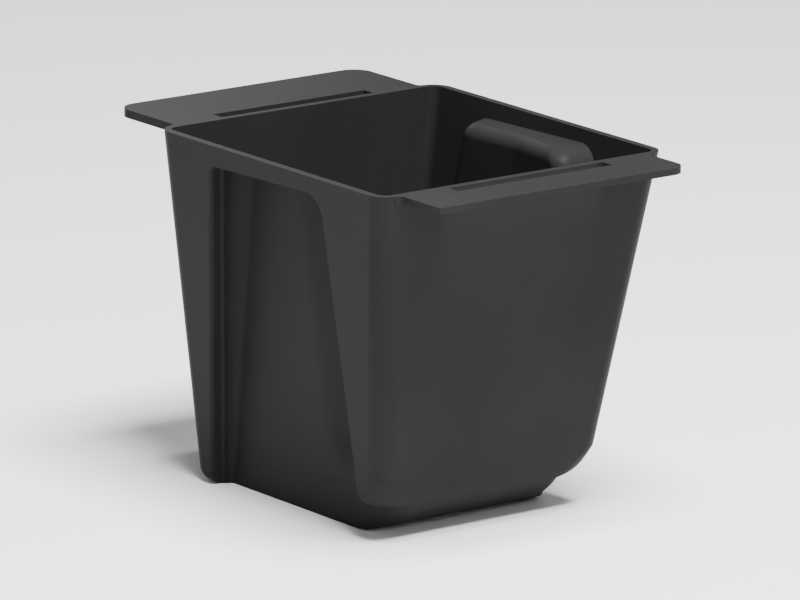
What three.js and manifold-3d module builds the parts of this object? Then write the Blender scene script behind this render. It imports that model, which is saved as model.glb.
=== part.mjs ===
// Lift-out waste bucket of an under-counter trash compactor: one moulding in
// black plastic, a tapered tub with a hanging flange at the back and another
// at the front. Each flange has a long slot beside the rim for the bag's edge.
// Both side walls have a deep recess, open at the bottom, with a stepped rear
// side. The flanges are nodes of their own, a hairline off the tub's wall.
//
// Millimetres. X is to the right, -Y is the front, Z is up. The origin is under
// the middle of the object, on the surface that it stands on.
import * as THREE from 'three';
import { mergeVertices } from 'three/addons/utils/BufferGeometryUtils.js';
import Module from 'manifold-3d';

const wasm = await Module();
wasm.setup();

// ---- driving dimensions ------------------------------------------------
const HEIGHT = 296;
const FRONT_REACH = 203.8;           // rim centre to the front flange's edge
const REAR_REACH = 236.8;            // rim centre to the rear flange's edge
const RIM_CENTRE_Y = (FRONT_REACH - REAR_REACH) / 2;

// Radius of the tub's upright corners, outside. Inside they are tighter by a
// wall's thickness and a little more.
const CORNER = { front: 17.6, rearFoot: 14, rearRim: 18, extraInside: 2.5 };
const WALL = 6.8;
const FLOOR = 6;

// Each wall: its reach from the rim centre at the rim, how far it leans in on
// the way down, and the radius where it turns into the floor.
const SIDE = { rim: 140, lean: 36.6, footRadius: 12 };
const FRONT = { rim: 153.2, lean: 53, footRadius: 69 };
const REAR = { rim: 153.2, lean: 0, footRadius: 12 };

// In front of the recesses the side walls end above the floor, round the foot
// of a narrower block whose sides carry on from the recess panels.
const STRIP = { base: 27, footRadius: 10, rearTop: 41.5, lowCorner: 34, lowTop: 51 };
const PLINTH = { top: 50, rear: 120, cornerLow: 3, cornerHigh: 24, blendHeight: 11 };
const SPLIT = { front: 0, rear: -20 };  // where the tub's two halves overlap

// The recess in each side wall, at the foot and at the height of the rim. y is
// taken from the rim centre, panel is the panel's distance from the middle.
const RECESS = {
  foot: { front: -80.3, step: 126.4, panel: 86, crease: -21.4, creaseHalf: 11 },
  rim: { front: -68.8, step: 73.8, panel: 108.3, crease: 3.9, creaseHalf: 6 },
  ledgeRound: 2.7,                   // from the ledge into the first step
  stepFace: 4.9,                     // flat part of the first step
  wallRound: 3.5,                    // from the first step into the wall
  draft: 1,                          // lean of the front side, in plan
  fillet: { front: 10, rear: 16 },
  turnedIn: { depth: 7.5, to: 80 },  // the panel's front end is deeper, above the strip's foot
  topDrop: { front: 13.6, rear: 17.3 },  // rim to the top edge
  wall: 3.2,                         // thickness of the wall round the recess
  topRadius: { front: 18, rear: 6, panel: 8 },
};

const FLANGE = {
  halfWidth: 121,
  rootRadius: 5,                     // in plan, between a flange and the wall
  rootSunk: 0.6,                     // how far that radius starts inside the wall
  front: { thickness: 5.5, cornerRadius: { left: 1.5, right: 14 } },
  rear: { thickness: 6.9, cornerRadius: { left: 17.5, right: 17.5 } },
};
const SLOT = { halfLength: 75, farSide: 165.6 };
const HAIRLINE = 0.3;                // gap between a flange and the tub's wall

const CORNER_STEPS = 6;
const FOOT_STEPS = 7;
const TOP_STEPS = 5;

const { lerp, clamp, inverseLerp, smoothstep } = THREE.MathUtils;
const plastic = new THREE.MeshStandardMaterial({ color: 0x1c1c1d, roughness: 0.42, metalness: 0 });

// ---- closed shapes -----------------------------------------------------

// A closed solid from rings of points, lowest first. Each ring has the same
// number of points and runs anticlockwise seen from above.
function loft(rings) {
  const count = rings[0].length;
  const positions = rings.flat().flatMap((p) => [p.x, p.y, p.z]);
  const triangles = [];
  for (let ring = 0; ring < rings.length - 1; ring += 1) {
    for (let i = 0; i < count; i += 1) {
      const next = (i + 1) % count;
      const low = ring * count;
      const high = low + count;
      triangles.push(low + i, low + next, high + next, low + i, high + next, high + i);
    }
  }
  const cap = (ring) => THREE.ShapeUtils.triangulateShape(ring.map((p) => new THREE.Vector2(p.x, p.y)), []);
  const lastRing = (rings.length - 1) * count;
  for (const [a, b, c] of cap(rings[0])) triangles.push(c, b, a);
  for (const [a, b, c] of cap(rings.at(-1))) triangles.push(lastRing + a, lastRing + b, lastRing + c);
  const geometry = new THREE.BufferGeometry();
  geometry.setAttribute('position', new THREE.Float32BufferAttribute(positions, 3));
  geometry.setIndex(triangles);
  return geometry;
}

// Points on an arc in plan, by default a quarter turn, anticlockwise.
function arc(x, y, radius, start, sweep = Math.PI / 2, steps = CORNER_STEPS) {
  return Array.from({ length: steps + 1 }, (_, i) => {
    const angle = start + (i / steps) * sweep;
    return { x: x + radius * Math.cos(angle), y: y + radius * Math.sin(angle) };
  });
}

function toSolid(geometry) {
  const merged = geometry.clone();
  merged.deleteAttribute('normal');
  merged.deleteAttribute('uv');
  const welded = mergeVertices(merged, 1e-4);
  return new wasm.Manifold(new wasm.Mesh({
    numProp: 3,
    vertProperties: new Float32Array(welded.attributes.position.array),
    triVerts: new Uint32Array(welded.index.array),
  }));
}

function toGeometry(solid) {
  const mesh = solid.getMesh();
  const geometry = new THREE.BufferGeometry();
  geometry.setAttribute('position', new THREE.BufferAttribute(mesh.vertProperties, 3));
  geometry.setIndex(new THREE.BufferAttribute(mesh.triVerts, 1));
  geometry.computeVertexNormals();
  return geometry;
}

// ---- the tub -----------------------------------------------------------

// How far a leaning wall stands from the rim centre at height z. base is where
// its foot arc begins; inset moves the face inwards, by the wall's thickness.
function wallReach(wall, z, inset, base, footRadius) {
  const slope = wall.lean / HEIGHT;
  const slant = Math.hypot(1, slope);
  const radius = footRadius - inset;
  const foot = wall.rim - wall.lean - inset * slant;
  const arcTop = base + radius * (1 - slope / slant);
  if (z >= arcTop) return foot + slope * z;
  const arcCentre = foot + slope * (base + radius) - slant * radius;
  const rise = radius - (z - base);
  return arcCentre + Math.sqrt(Math.max(0, radius * radius - rise * rise));
}

// Heights for rings: close together round a foot arc, then on to the rim.
function ringHeights(base, radii, top) {
  const heights = radii.flatMap((radius) => Array.from({ length: FOOT_STEPS + 1 }, (_, i) => (
    base + radius * (1 - Math.cos((i / FOOT_STEPS) * 1.45))
  )));
  const ordered = [...new Set([...heights, base, top])].sort((a, b) => a - b);
  return ordered.filter((z, i) => i === 0 || z - ordered[i - 1] > 0.6);
}

// A ring with four rounded corners. reach gives the front, rear and side.
function roundedRing(z, reach, frontRadius, rearRadius) {
  const front = RIM_CENTRE_Y - reach.front + frontRadius;
  const rear = RIM_CENTRE_Y + reach.rear - rearRadius;
  return [
    ...arc(reach.side - rearRadius, rear, rearRadius, 0),
    ...arc(rearRadius - reach.side, rear, rearRadius, Math.PI / 2),
    ...arc(frontRadius - reach.side, front, frontRadius, Math.PI),
    ...arc(reach.side - frontRadius, front, frontRadius, Math.PI * 1.5),
  ].map((p) => ({ ...p, z }));
}

// Radii of the front and rear corners at height z. Near the strip's foot the
// front ones open out.
function cornerRadii(z, inset) {
  const tighter = inset > 0 ? inset + CORNER.extraInside : inset;
  const rear = lerp(CORNER.rearFoot, CORNER.rearRim, clamp(z / HEIGHT, 0, 1));
  const low = clamp((STRIP.lowTop - z) / (STRIP.lowTop - STRIP.base), 0, 1);
  return { front: lerp(CORNER.front, STRIP.lowCorner, low) - tighter, rear: rear - tighter };
}

// The rear half of the tub as a solid block. inset 0 is the outside, WALL is
// the inside.
function rearBlock(inset, top) {
  const base = inset > 0 ? FLOOR : 0;
  const low = ringHeights(base, [SIDE.footRadius - inset], HEIGHT);
  return toSolid(loft(low.map((z) => {
    const reach = {
      side: wallReach(SIDE, z, inset, base, SIDE.footRadius),
      rear: wallReach(REAR, z, inset, base, REAR.footRadius),
      front: -SPLIT.rear,
    };
    return roundedRing(z === HEIGHT ? top : z, reach, 0.5, cornerRadii(z, inset).rear);
  })));
}

// The front half, which ends above the floor.
function frontBlock(inset, top) {
  const base = STRIP.base + (inset > 0 ? FLOOR : 0);
  const low = ringHeights(base, [STRIP.footRadius - inset, 24, 40], HEIGHT);
  return toSolid(loft(low.map((z) => {
    const reach = {
      side: wallReach(SIDE, z, inset, base, STRIP.footRadius),
      rear: SPLIT.front,
      front: wallReach(FRONT, z, inset, inset > 0 ? FLOOR : 0, FRONT.footRadius),
    };
    return roundedRing(z === HEIGHT ? top : z, reach, cornerRadii(z, inset).front, 0.5);
  })));
}

// The recess at height z: where its panel stands, how much deeper the panel's
// front end is, and where its soft crease lies.
function panelAt(z) {
  const share = clamp(z / HEIGHT, 0, 1);
  const { depth, to } = RECESS.turnedIn;
  const at = (name) => lerp(RECESS.foot[name], RECESS.rim[name], share);
  return {
    panel: at('panel'),
    turnedIn: depth * smoothstep(z, STRIP.rearTop, to),
    front: at('front'),
    step: at('step'),
    crease: at('crease'),
    creaseHalf: at('creaseHalf'),
  };
}

// The panel's line in plan from its front end to behind the crease, with the
// crease as a short curve. x is the panel's distance from the middle.
function panelLine(x, frontX, frontY, crease, half) {
  const slope = (x - frontX) / (crease - frontY);
  const points = [];
  for (let i = 0; i <= 4; i += 1) {
    const t = i / 4;
    const y = crease - half + 2 * half * t;
    points.push({ x: x - slope * half * (1 - t) ** 2, y });
  }
  return points;
}

// The walls round the recesses are thinner than the others.
function recessWall(inset) {
  return inset > 0 ? RECESS.wall : 0;
}

// The narrow block that stands on the floor between the recesses. Its sides
// follow the panels as far up as it shows, and then keep clear of them.
function plinth(inset) {
  const base = inset > 0 ? FLOOR : 0;
  const heights = ringHeights(base, [FRONT.footRadius - inset], PLINTH.top);
  const shown = heights.filter((z) => z < STRIP.rearTop);
  return toSolid(loft([...shown, STRIP.rearTop, PLINTH.top].map((z) => {
    const blend = smoothstep(z, 1, PLINTH.blendHeight);
    const corner = lerp(PLINTH.cornerLow, PLINTH.cornerHigh, blend);
    const reach = {
      side: panelAt(z).panel - recessWall(inset) - (z > STRIP.rearTop ? 2 : 0.02),
      rear: PLINTH.rear,
      front: wallReach(FRONT, z, inset, base, FRONT.footRadius),
    };
    return roundedRing(z, reach, Math.max(2, corner - inset), 2);
  })));
}

// The space of one recess. grow moves every face out by a wall's thickness,
// which gives the raised shape that the recess makes inside the tub.
function recessBlock(side, grow) {
  const outside = SIDE.rim + 20;
  const rearRadius = STRIP.rearTop - STRIP.base;
  // How far a corner of this radius has closed in, at this distance below the
  // recess's top.
  const closed = (radius, below) => {
    const r = radius + grow;
    const rise = Math.max(0, r - below);
    return r - Math.sqrt(Math.max(0, r * r - rise * rise));
  };
  const ring = (heightAt, below) => {
    const level = heightAt(0);
    const at = panelAt(level);
    const wall = wallReach(SIDE, level, 0, 0, 1);
    const lift = clamp(STRIP.rearTop - level, 0, rearRadius);
    const forward = rearRadius - Math.sqrt(rearRadius ** 2 - lift ** 2);
    const front = at.front - grow - forward + closed(RECESS.topRadius.front, below);
    const closedRear = closed(RECESS.topRadius.rear, below);
    const step = at.step - closedRear;
    const ledgeRadius = RECESS.ledgeRound + grow;
    const ledgeAngle = Math.PI - Math.asin(grow / ledgeRadius);
    const ledgeX = wall - RECESS.wallRound - RECESS.stepFace;
    const edge = ledgeX + ledgeRadius * Math.cos(ledgeAngle);
    const pulled = closed(RECESS.topRadius.panel, below);
    const floorX = Math.min(edge - 1.5, at.panel - grow + pulled);
    const frontX = Math.min(edge - 1.5, floorX - at.turnedIn);
    const rearFillet = Math.min(RECESS.fillet.rear + grow, 0.9 * (edge - floorX) + 0.5 * grow);
    const frontFillet = Math.min(RECESS.fillet.front + grow, wall - frontX - 1);
    const frontY = front + RECESS.draft + frontFillet;
    const { wallRound } = RECESS;
    const wallY = step + ledgeRadius + (grow > 0 ? 0 : wallRound);
    const wallArc = arc(wall - wallRound, wallY, wallRound, -Math.PI / 2, 1.45, 3);
    const plan = [
      { x: outside, y: front },
      ...arc(frontX + frontFillet, frontY, frontFillet, Math.PI).reverse(),
      ...panelLine(floorX, frontX, frontY, at.crease, at.creaseHalf),
      ...arc(floorX + rearFillet, step + grow - rearFillet, rearFillet, Math.PI / 2).reverse(),
      ...arc(ledgeX, step, ledgeRadius, ledgeAngle, Math.PI / 2 - ledgeAngle, 4),
      ...(grow > 0 ? [] : wallArc),
      { x: outside, y: wallY },
    ];
    const points = plan.map((p) => ({ x: p.x, y: p.y + RIM_CENTRE_Y, z: heightAt(p.y) }));
    return side > 0 ? points.reverse() : points.map((p) => ({ ...p, x: -p.x }));
  };
  const topAt = (y) => {
    const along = clamp(inverseLerp(RECESS.rim.front, RECESS.rim.step, y), 0, 1);
    return HEIGHT + grow - lerp(RECESS.topDrop.front, RECESS.topDrop.rear, along);
  };
  const rounding = RECESS.topRadius.front + grow;
  const rings = [-1, FLOOR, STRIP.base, 29, 32, 36, STRIP.rearTop, 50, 60, 70, RECESS.turnedIn.to]
    .map((z) => ring(() => z, HEIGHT));
  for (let i = 0; i <= TOP_STEPS; i += 1) {
    const below = rounding * (1 - Math.sin((i / TOP_STEPS) * 1.45));
    rings.push(ring((y) => topAt(y) - below, below));
  }
  return toSolid(loft(rings));
}

// Both halves of the tub and the plinth, less the recesses.
function tubSolid(inset, top) {
  return rearBlock(inset, top)
    .add(frontBlock(inset, top))
    .subtract(recessBlock(1, recessWall(inset)))
    .subtract(recessBlock(-1, recessWall(inset)))
    .add(plinth(inset));
}

// ---- the flanges -------------------------------------------------------

// A flat plate from the wall outwards, with a notch that leaves the slot.
// direction is 1 for the rear flange and -1 for the front one.
function flangePlate(direction, reach, { thickness, cornerRadius }) {
  const { halfWidth, rootRadius } = FLANGE;
  const root = REAR.rim - WALL / 2;
  const web = halfWidth + rootRadius;
  const webY = REAR.rim + rootRadius - FLANGE.rootSunk;
  // The front plate is drawn as the rear one and turned round, which swaps the
  // two sides.
  const first = direction > 0 ? cornerRadius.right : cornerRadius.left;
  const second = direction > 0 ? cornerRadius.left : cornerRadius.right;
  const outline = new THREE.Shape()
    .moveTo(SLOT.halfLength, root)
    .lineTo(web, root)
    .absarc(web, webY, rootRadius, -Math.PI / 2, Math.PI, true)
    .absarc(halfWidth - first, reach - first, first, 0, Math.PI / 2, false)
    .absarc(second - halfWidth, reach - second, second, Math.PI / 2, Math.PI, false)
    .absarc(-web, webY, rootRadius, 0, -Math.PI / 2, true)
    .lineTo(-web, root)
    .lineTo(-SLOT.halfLength, root)
    .lineTo(-SLOT.halfLength, SLOT.farSide)
    .lineTo(SLOT.halfLength, SLOT.farSide);
  const plate = new THREE.ExtrudeGeometry(outline, {
    depth: thickness, bevelEnabled: false, curveSegments: CORNER_STEPS,
  });
  if (direction < 0) plate.rotateZ(Math.PI);
  plate.translate(0, RIM_CENTRE_Y, HEIGHT - thickness);
  const halves = rearBlock(-HAIRLINE, HEIGHT + 1).add(frontBlock(-HAIRLINE, HEIGHT + 1));
  return toSolid(plate).subtract(halves);
}

// ---- the object --------------------------------------------------------
const bucket = new THREE.Group();

function addPart(name, solid) {
  const mesh = new THREE.Mesh(toGeometry(solid), plastic.clone());
  mesh.name = name;
  bucket.add(mesh);
}

addPart('bucket_tub', tubSolid(0, HEIGHT).subtract(tubSolid(WALL, HEIGHT + 1)));
addPart('rear_flange', flangePlate(1, REAR_REACH, FLANGE.rear));
addPart('front_flange', flangePlate(-1, FRONT_REACH, FLANGE.front));

export default bucket;
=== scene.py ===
# Lift-out bucket of a trash compactor, as one continuous plastic moulding round
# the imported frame, on a plain pale floor. Lengths below are in millimetres,
# taken from the rim's centre in plan and from the floor in height.
import math

import bmesh
import bpy
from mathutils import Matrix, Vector


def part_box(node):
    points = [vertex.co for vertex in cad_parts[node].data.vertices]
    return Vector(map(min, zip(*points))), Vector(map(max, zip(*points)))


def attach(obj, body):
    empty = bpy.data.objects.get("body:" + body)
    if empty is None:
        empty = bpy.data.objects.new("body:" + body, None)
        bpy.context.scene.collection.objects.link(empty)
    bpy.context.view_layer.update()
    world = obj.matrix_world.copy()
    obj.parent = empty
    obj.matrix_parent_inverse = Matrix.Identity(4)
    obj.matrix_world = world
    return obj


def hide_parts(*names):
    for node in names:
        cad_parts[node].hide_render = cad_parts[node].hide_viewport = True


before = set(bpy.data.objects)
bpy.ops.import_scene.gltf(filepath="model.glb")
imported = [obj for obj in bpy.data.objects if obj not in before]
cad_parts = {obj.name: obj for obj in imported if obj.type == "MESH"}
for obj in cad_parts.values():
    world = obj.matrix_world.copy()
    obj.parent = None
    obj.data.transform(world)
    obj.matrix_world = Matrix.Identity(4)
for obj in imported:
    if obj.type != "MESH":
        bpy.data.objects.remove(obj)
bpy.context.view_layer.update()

# ---- driving dimensions --------------------------------------------------
tub_low, tub_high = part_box("bucket_tub")
rear_low, rear_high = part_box("rear_flange")
front_low, front_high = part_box("front_flange")

HEIGHT = tub_high.z * 1000
RIM_CENTRE_Y = (tub_low.y + tub_high.y) * 500
HALF_WIDTH = tub_high.x * 1000
HALF_LENGTH = (tub_high.y - tub_low.y) * 500

WALL = 6.8
FLOOR = 6
CORNER_FRONT = 17.6
CORNER_REAR_RIM = 18
CORNER_REAR_FOOT = 14
CORNER_EXTRA_INSIDE = 2.5

SIDE = {"rim": HALF_WIDTH, "lean": 36.6}
FRONT = {"rim": HALF_LENGTH, "lean": 53}
REAR = {"rim": HALF_LENGTH, "lean": 0}
FRONT_FOOT = 69
REAR_FOOT = 12
STRIP_BASE = 27
STRIP_FOOT = 10
STRIP_REAR_TOP = 41.5
STRIP_LOW_CORNER = 34
STRIP_LOW_TOP = 51
STRIP_EXTRA_RINGS = (26, 42)
PLINTH_TOP = 50
PLINTH_REAR = 120
PLINTH_CORNER_LOW = 3
PLINTH_CORNER_HIGH = 24
PLINTH_CORNER_FROM = 1
PLINTH_CORNER_TO = 11
PLINTH_LEAST_CORNER = 2
PLINTH_OVERLAP = 2
BLOCK_OVERLAP = 20
HIDDEN_CORNER = 0.5

RECESS_FOOT = {"front": -80.3, "step": 126.4, "panel": 86, "crease": -21.4, "half": 11}
RECESS_RIM = {"front": -68.8, "step": 73.8, "panel": 108.3, "crease": 3.9, "half": 6}
LEDGE_ROUND = 2.7
STEP_FACE = 4.9
WALL_ROUND = 3.5
FRONT_FILLET = 10
REAR_FILLET = 16
TURNED_IN = 7.5
TURNED_IN_TO = 80
TOP_DROP_FRONT = 13.6
TOP_DROP_REAR = 17.3
TOP_RADIUS_FRONT = 18
TOP_RADIUS_REAR = 6
TOP_RADIUS_PANEL = 8
RECESS_WALL = 3.2
RECESS_LEDGE_GAP = 1.5
RECESS_OUTSIDE = 20
RECESS_LEVELS_LOW = [-1, FLOOR, 12, 20]
RECESS_LEVELS_HIGH = [45, 50, 55, 60, 65, 70, 75, TURNED_IN_TO, 120, 180, 230]
RECESS_ARC_RISE = 14
RECESS_ARC_STEPS = 12
CREASE_STEPS = 8

FLANGE_HALF_WIDTH = 121
FLANGE_ROOT_RADIUS = 5
FLANGE_ROOT_SUNK = 0.6
REAR_FLANGE_CORNERS = (17.5, 17.5)
FRONT_FLANGE_CORNERS = (1.5, 14)
SLOT_HALF = 75
SLOT_FAR = 165.6

CORNER_STEPS = 14
SMALL_ARC_STEPS = 8
FOOT_STEPS = 22
TOP_STEPS = 18
NEARLY_QUARTER = 1.5
LEAST_RING_GAP = 0.25

EDGE_ROUND_M = 0.0008
EDGE_SHARP = 40
MERGE_M = 0.00003
FLAT_WITHIN = 0.25
SMOOTH_BELOW = 38
NORMAL_WEIGHT = 80


def lerp(a, b, t):
    return a + (b - a) * t


def clamp(v, low=0.0, high=1.0):
    return max(low, min(high, v))


def smoothstep(v, low, high):
    t = clamp((v - low) / (high - low))
    return t * t * (3 - 2 * t)


# ---- closed shapes -------------------------------------------------------
def loft(name, rings):
    """A closed mesh object from rings of (x, y, z), lowest first."""
    count = len(rings[0])
    vertices = [(x / 1000, y / 1000, z / 1000) for ring in rings for x, y, z in ring]
    faces = []
    for ring in range(len(rings) - 1):
        for i in range(count):
            low = ring * count
            high = low + count
            n = (i + 1) % count
            faces.append((low + i, low + n, high + n, high + i))
    faces.append(tuple(reversed(range(count))))
    last = (len(rings) - 1) * count
    faces.append(tuple(range(last, last + count)))
    mesh = bpy.data.meshes.new(name)
    mesh.from_pydata(vertices, [], faces)
    mesh.update()
    piece = bpy.data.objects.new(name, mesh)
    bpy.context.scene.collection.objects.link(piece)
    return piece


def arc(x, y, radius, start, sweep=math.pi / 2, steps=CORNER_STEPS):
    """Points on an arc in plan, anticlockwise for a positive sweep."""
    turns = [start + sweep * i / steps for i in range(steps + 1)]
    return [(x + radius * math.cos(t), y + radius * math.sin(t)) for t in turns]


def combine(target, operation, *others):
    """Joins other closed pieces to target, or cuts them out of it."""
    for other in others:
        modifier = target.modifiers.new("combine", "BOOLEAN")
        modifier.operation = operation
        modifier.solver = "MANIFOLD"
        modifier.object = other
        bpy.context.view_layer.update()
        graph = bpy.context.evaluated_depsgraph_get()
        mesh = bpy.data.meshes.new_from_object(target.evaluated_get(graph))
        target.modifiers.clear()
        old = target.data
        target.data = mesh
        bpy.data.meshes.remove(old)
        bpy.data.objects.remove(other)
    return target


# ---- the tub -------------------------------------------------------------
def wall_reach(wall, z, inset, base, foot_radius):
    """How far a leaning wall stands from the rim's centre at height z."""
    slope = wall["lean"] / HEIGHT
    slant = math.hypot(1, slope)
    radius = foot_radius - inset
    foot = wall["rim"] - wall["lean"] - inset * slant
    if z >= base + radius * (1 - slope / slant):
        return foot + slope * z
    centre = foot + slope * (base + radius) - slant * radius
    rise = radius - (z - base)
    return centre + math.sqrt(max(0, radius * radius - rise * rise))


def ring_heights(base, radii, top):
    """Heights for rings: close together round a foot arc, then up to the rim."""
    heights = {base, top, base + 0.35 * (top - base), base + 0.65 * (top - base)}
    for radius in radii:
        for i in range(FOOT_STEPS + 1):
            heights.add(base + radius * (1 - math.cos(NEARLY_QUARTER * i / FOOT_STEPS)))
    ordered = sorted(heights)
    kept = [ordered[0]]
    for z in ordered[1:]:
        if z - kept[-1] > LEAST_RING_GAP:
            kept.append(z)
    return kept


def rounded_ring(z, side, front, rear, front_radius, rear_radius):
    low = RIM_CENTRE_Y - front + front_radius
    high = RIM_CENTRE_Y + rear - rear_radius
    plan = (
        arc(side - rear_radius, high, rear_radius, 0)
        + arc(rear_radius - side, high, rear_radius, math.pi / 2)
        + arc(front_radius - side, low, front_radius, math.pi)
        + arc(side - front_radius, low, front_radius, math.pi * 1.5)
    )
    return [(x, y, z) for x, y in plan]


def corner_inset(inset):
    """The tub's upright corners are a little tighter inside than the wall makes them."""
    return inset + CORNER_EXTRA_INSIDE if inset > 0 else inset


def rear_block(inset, top):
    base = FLOOR if inset > 0 else 0
    rings = []
    for z in ring_heights(base, [REAR_FOOT - inset], HEIGHT):
        corner = lerp(CORNER_REAR_FOOT, CORNER_REAR_RIM, z / HEIGHT)
        corner -= corner_inset(inset)
        side = wall_reach(SIDE, z, inset, base, REAR_FOOT)
        rear = wall_reach(REAR, z, inset, base, REAR_FOOT)
        level = top if z == HEIGHT else z
        rings.append(rounded_ring(level, side, BLOCK_OVERLAP, rear, HIDDEN_CORNER, corner))
    return loft("rear_half", rings)


def front_block(inset, top):
    lift = FLOOR if inset > 0 else 0
    base = STRIP_BASE + lift
    rings = []
    for z in ring_heights(base, [STRIP_FOOT - inset, *STRIP_EXTRA_RINGS], HEIGHT):
        low = clamp((STRIP_LOW_TOP - z) / (STRIP_LOW_TOP - STRIP_BASE))
        corner = lerp(CORNER_FRONT, STRIP_LOW_CORNER, low) - corner_inset(inset)
        side = wall_reach(SIDE, z, inset, base, STRIP_FOOT)
        front = wall_reach(FRONT, z, inset, lift, FRONT_FOOT)
        level = top if z == HEIGHT else z
        rings.append(rounded_ring(level, side, front, 0, corner, HIDDEN_CORNER))
    return loft("front_half", rings)


def recess_at(name, z):
    """A driving dimension of the recess at height z."""
    return lerp(RECESS_FOOT[name], RECESS_RIM[name], clamp(z / HEIGHT))


def recess_wall(inset):
    """The walls round the recesses are thinner than the others."""
    return RECESS_WALL if inset > 0 else 0


def plinth(inset):
    """The narrow block that stands on the floor between the recesses."""
    base = FLOOR if inset > 0 else 0
    rings = []
    heights = ring_heights(base, [FRONT_FOOT - inset], PLINTH_TOP)
    heights = [z for z in heights if z < STRIP_REAR_TOP]
    for z in heights + [STRIP_REAR_TOP, PLINTH_TOP]:
        blend = smoothstep(z, PLINTH_CORNER_FROM, PLINTH_CORNER_TO)
        radius = lerp(PLINTH_CORNER_LOW, PLINTH_CORNER_HIGH, blend) - inset
        radius = max(PLINTH_LEAST_CORNER, radius)
        front = wall_reach(FRONT, z, inset, base, FRONT_FOOT)
        tuck = PLINTH_OVERLAP if z > STRIP_REAR_TOP else 0
        side = recess_at("panel", z) - recess_wall(inset) - tuck
        rings.append(
            rounded_ring(z, side, front, PLINTH_REAR, radius, PLINTH_LEAST_CORNER)
        )
    return loft("plinth", rings)


def closed(radius, below):
    """How far a corner of this radius has closed in, this far below its top."""
    rise = max(0, radius - below)
    return radius - math.sqrt(max(0, radius * radius - rise * rise))


def recess_ring(height_at, below, side, grow):
    """One ring of a recess, below its top edge by that much."""
    level = height_at(0)
    panel = recess_at("panel", level)
    turned_in = TURNED_IN * smoothstep(level, STRIP_REAR_TOP, TURNED_IN_TO)
    wall = wall_reach(SIDE, level, 0, 0, 1)
    rear_radius = STRIP_REAR_TOP - STRIP_BASE
    lift = clamp(STRIP_REAR_TOP - level, 0, rear_radius)
    forward = rear_radius - math.sqrt(rear_radius**2 - lift**2)
    front = recess_at("front", level) - grow - forward
    front += closed(TOP_RADIUS_FRONT + grow, below)
    step = recess_at("step", level) - closed(TOP_RADIUS_REAR + grow, below)
    ledge = LEDGE_ROUND + grow
    ledge_angle = math.pi - math.asin(grow / ledge)
    ledge_x = wall - WALL_ROUND - STEP_FACE
    edge = ledge_x + ledge * math.cos(ledge_angle)
    furthest = edge - RECESS_LEDGE_GAP
    floor_x = min(furthest, panel - grow + closed(TOP_RADIUS_PANEL + grow, below))
    front_x = min(furthest, floor_x - turned_in)
    rear_fillet = min(REAR_FILLET + grow, 0.9 * (edge - floor_x) + 0.5 * grow)
    front_fillet = min(FRONT_FILLET + grow, wall - front_x - 1)
    front_y = front + 1 + front_fillet
    crease = recess_at("crease", level)
    half = recess_at("half", level)
    slope = (floor_x - front_x) / (crease - front_y)
    outside = HALF_WIDTH + RECESS_OUTSIDE
    plan = [(outside, front)]
    plan += reversed(arc(front_x + front_fillet, front_y, front_fillet, math.pi))
    for i in range(CREASE_STEPS + 1):
        t = i / CREASE_STEPS
        plan.append((floor_x - slope * half * (1 - t) ** 2, crease - half + 2 * half * t))
    fillet_y = step + grow - rear_fillet
    plan += reversed(arc(floor_x + rear_fillet, fillet_y, rear_fillet, math.pi / 2))
    ledge_turn = math.pi / 2 - ledge_angle
    plan += arc(ledge_x, step, ledge, ledge_angle, ledge_turn, SMALL_ARC_STEPS)
    last_y = step + ledge
    if grow == 0:
        last_y += WALL_ROUND
        plan += arc(
            wall - WALL_ROUND, last_y, WALL_ROUND, -math.pi / 2, NEARLY_QUARTER, SMALL_ARC_STEPS
        )
    plan.append((outside, last_y))
    ring = [(x, y + RIM_CENTRE_Y, height_at(y)) for x, y in plan]
    if side > 0:
        return list(reversed(ring))
    return [(-x, y, z) for x, y, z in ring]


def recess_block(side, grow):
    """The space of one recess. grow moves every face out by a wall's thickness."""

    def top_at(y):
        length = RECESS_RIM["step"] - RECESS_RIM["front"]
        along = clamp((y - RECESS_RIM["front"]) / length)
        return HEIGHT + grow - lerp(TOP_DROP_FRONT, TOP_DROP_REAR, along)

    rounding = TOP_RADIUS_FRONT + grow
    levels = list(RECESS_LEVELS_LOW)
    for i in range(RECESS_ARC_STEPS):
        turn = math.pi * i / (2 * RECESS_ARC_STEPS)
        levels.append(STRIP_BASE + RECESS_ARC_RISE * (1 - math.cos(turn)))
    levels += [STRIP_REAR_TOP, *RECESS_LEVELS_HIGH]
    rings = [recess_ring(lambda y, z=z: z, HEIGHT, side, grow) for z in levels]
    for i in range(TOP_STEPS + 1):
        below = rounding * (1 - math.sin(NEARLY_QUARTER * i / TOP_STEPS))
        rings.append(recess_ring(lambda y, b=below: top_at(y) - b, below, side, grow))
    return loft("recess", rings)


def tub_solid(inset, top):
    body = combine(rear_block(inset, top), "UNION", front_block(inset, top))
    grow = recess_wall(inset)
    combine(body, "DIFFERENCE", recess_block(1, grow), recess_block(-1, grow))
    return combine(body, "UNION", plinth(inset))


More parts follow.
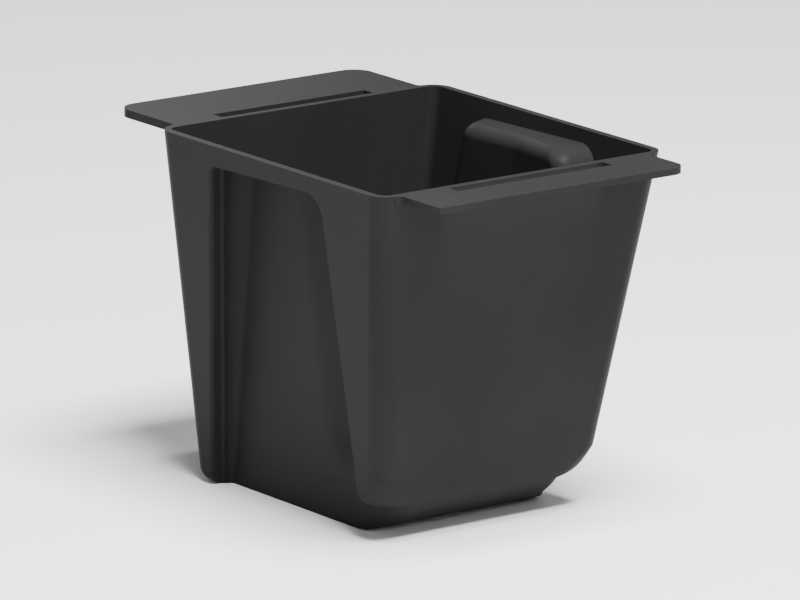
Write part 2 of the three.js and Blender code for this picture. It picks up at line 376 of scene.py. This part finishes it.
# ---- the flanges ---------------------------------------------------------
def flange_plate(direction, reach, thickness, corners):
    """A flat plate from inside the tub's wall outwards, with the slot's notch.

    corners are the radii of its two outer corners. The front plate is turned
    half round, so that its first corner is on the left.
    """
    first, second = corners
    root = HALF_LENGTH - WALL / 2
    web = FLANGE_HALF_WIDTH + FLANGE_ROOT_RADIUS
    web_y = HALF_LENGTH + FLANGE_ROOT_RADIUS - FLANGE_ROOT_SUNK
    plan = [(SLOT_HALF, root), (web, root)]
    quarter = math.pi / 2
    plan += arc(web, web_y, FLANGE_ROOT_RADIUS, -quarter, -quarter, SMALL_ARC_STEPS)
    plan += arc(FLANGE_HALF_WIDTH - first, reach - first, first, 0)
    plan += arc(second - FLANGE_HALF_WIDTH, reach - second, second, quarter)
    plan += arc(-web, web_y, FLANGE_ROOT_RADIUS, 0, -quarter, SMALL_ARC_STEPS)
    plan += [(-web, root), (-SLOT_HALF, root)]
    plan += [(-SLOT_HALF, SLOT_FAR), (SLOT_HALF, SLOT_FAR)]
    ring = [(direction * x, direction * y + RIM_CENTRE_Y) for x, y in plan]
    heights = (HEIGHT - thickness, HEIGHT)
    return loft("flange", [[(x, y, z) for x, y in ring] for z in heights])


rear_reach = rear_high.y * 1000 - RIM_CENTRE_Y
front_reach = RIM_CENTRE_Y - front_low.y * 1000
rear_thickness = (rear_high.z - rear_low.z) * 1000
front_thickness = (front_high.z - front_low.z) * 1000

moulding = tub_solid(0, HEIGHT)
combine(
    moulding,
    "UNION",
    flange_plate(1, rear_reach, rear_thickness, REAR_FLANGE_CORNERS),
    flange_plate(-1, front_reach, front_thickness, FRONT_FLANGE_CORNERS),
)
combine(moulding, "DIFFERENCE", tub_solid(WALL, HEIGHT + 1))
moulding.name = "bucket_moulding"


# ---- edges and shading ---------------------------------------------------
def soften(piece, radius, sharp):
    """Rounds every edge that turns by more than sharp degrees."""
    bm = bmesh.new()
    bm.from_mesh(piece.data)
    bmesh.ops.remove_doubles(bm, verts=bm.verts, dist=MERGE_M)
    bmesh.ops.dissolve_degenerate(bm, edges=bm.edges, dist=MERGE_M)
    bmesh.ops.dissolve_limit(
        bm, angle_limit=math.radians(FLAT_WITHIN), verts=bm.verts, edges=bm.edges,
        delimit={"NORMAL"},
    )
    limit = math.radians(sharp)
    inner = [e for e in bm.edges if len(e.link_faces) == 2]
    edges = [e for e in inner if e.calc_face_angle(0) > limit]
    bmesh.ops.bevel(
        bm, geom=edges, offset=radius, offset_type="OFFSET", segments=3, profile=0.5,
        affect="EDGES", clamp_overlap=True,
    )
    for face in bm.faces:
        face.smooth = True
    for edge in bm.edges:
        if len(edge.link_faces) == 2:
            edge.smooth = edge.calc_face_angle(0) < math.radians(SMOOTH_BELOW)
    bm.to_mesh(piece.data)
    bm.free()
    weighted = piece.modifiers.new("weighted", "WEIGHTED_NORMAL")
    weighted.keep_sharp = True
    weighted.weight = NORMAL_WEIGHT


soften(moulding, EDGE_ROUND_M, EDGE_SHARP)


# ---- material ------------------------------------------------------------
def plastic():
    """Satin black moulded plastic: fine grain, faint flow marks and light scuffs."""
    material = bpy.data.materials.new("charcoal_plastic")
    material.use_nodes = True
    nodes = material.node_tree.nodes
    links = material.node_tree.links
    shader = nodes["Principled BSDF"]
    place = nodes.new("ShaderNodeTexCoord")

    def noise(scale, detail, rough=0.5):
        node = nodes.new("ShaderNodeTexNoise")
        node.inputs["Scale"].default_value = scale
        node.inputs["Detail"].default_value = detail
        node.inputs["Roughness"].default_value = rough
        links.new(place.outputs["Object"], node.inputs["Vector"])
        return node.outputs["Fac"]

    def spread(value, low, high, to_low, to_high):
        node = nodes.new("ShaderNodeMapRange")
        node.inputs["From Min"].default_value = low
        node.inputs["From Max"].default_value = high
        node.inputs["To Min"].default_value = to_low
        node.inputs["To Max"].default_value = to_high
        links.new(value, node.inputs["Value"])
        return node.outputs["Result"]

    cloudy = noise(9, 3)
    grain = noise(1400, 2, 0.6)
    tint = nodes.new("ShaderNodeMix")
    tint.data_type = "RGBA"
    tint.inputs["A"].default_value = (0.0150, 0.0150, 0.0153, 1)
    tint.inputs["B"].default_value = (0.0182, 0.0182, 0.0185, 1)
    links.new(spread(cloudy, 0.3, 0.7, 0, 1), tint.inputs["Factor"])
    links.new(tint.outputs["Result"], shader.inputs["Base Color"])
    links.new(spread(cloudy, 0.3, 0.7, 0.40, 0.45), shader.inputs["Roughness"])
    bump = nodes.new("ShaderNodeBump")
    bump.inputs["Strength"].default_value = 0.18
    bump.inputs["Distance"].default_value = 0.00008
    links.new(grain, bump.inputs["Height"])
    links.new(bump.outputs["Normal"], shader.inputs["Normal"])
    shader.inputs["IOR"].default_value = 1.5
    shader.inputs["Specular IOR Level"].default_value = 0.03
    return material


material = plastic()
moulding.data.materials.clear()
moulding.data.materials.append(material)
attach(moulding, "root")
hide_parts("bucket_tub", "rear_flange", "front_flange")

# ---- floor, light and camera ----------------------------------------------
FLOOR_HALF_M = 30
LENS_MM = 405
SENSOR_MM = 36
AIM_RIGHT = -0.00112
AIM_UP = -0.01785

floor_mesh = bpy.data.meshes.new("floor")
floor_mesh.from_pydata(
    [(x * FLOOR_HALF_M, y * FLOOR_HALF_M, 0) for x, y in ((-1, -1), (1, -1), (1, 1), (-1, 1))],
    [],
    [(0, 1, 2, 3)],
)
floor = bpy.data.objects.new("floor", floor_mesh)
bpy.context.scene.collection.objects.link(floor)
paint = bpy.data.materials.new("floor_paint")
paint.use_nodes = True
paint_inputs = paint.node_tree.nodes["Principled BSDF"].inputs
paint_inputs["Base Color"].default_value = (0.93, 0.93, 0.93, 1)
paint_inputs["Roughness"].default_value = 0.9
floor.data.materials.append(paint)

world = bpy.data.worlds.new("studio")
world.use_nodes = True
sky = world.node_tree.nodes["Background"].inputs
sky["Color"].default_value = (1, 1, 1, 1)
sky["Strength"].default_value = 0.26
bpy.context.scene.world = world


def area_light(name, place, target, size, watts):
    light = bpy.data.lights.new(name, "AREA")
    light.shape = "RECTANGLE"
    light.size, light.size_y = size
    light.energy = watts
    lamp = bpy.data.objects.new(name, light)
    lamp.location = place
    lamp.rotation_euler = (Vector(target) - Vector(place)).to_track_quat("-Z", "Y").to_euler()
    bpy.context.scene.collection.objects.link(lamp)


area_light("key", (-0.1, -1.15, 3.3), (0, 0, 0.1), (1.7, 1.3), 455)
area_light("fill", (-1.2, -3.6, 2.2), (0, 0, 0.15), (2.0, 1.4), 30)
area_light("back", (1.0, 3.6, 1.3), (-0.1, 0, 0.3), (2.4, 1.0), 17)
area_light("edge", (-0.22, -2.0, 0.25), (-0.1, -0.1, 0.15), (0.3, 0.4), 3)


def look_from(azimuth, elevation, distance, centre):
    """A camera at that angle round centre, with a long lens, aimed at the object."""
    a, e = math.radians(azimuth), math.radians(elevation)
    back = Vector((math.sin(a) * math.cos(e), -math.cos(a) * math.cos(e), math.sin(e)))
    data = bpy.data.cameras.new("camera")
    data.sensor_width = SENSOR_MM
    data.lens = LENS_MM
    data.clip_start = 0.1
    data.clip_end = 100
    camera = bpy.data.objects.new("camera", data)
    camera.location = Vector(centre) + back * distance
    right = (-back).cross(Vector((0, 0, 1))).normalized()
    up = right.cross(-back)
    aim = -back + right * AIM_RIGHT + up * AIM_UP
    camera.rotation_euler = aim.to_track_quat("-Z", "Y").to_euler()
    bpy.context.scene.collection.objects.link(camera)
    bpy.context.scene.camera = camera


look_from(-36.25, 13.0, 7.147, (0, RIM_CENTRE_Y / 1000, HEIGHT / 1000))
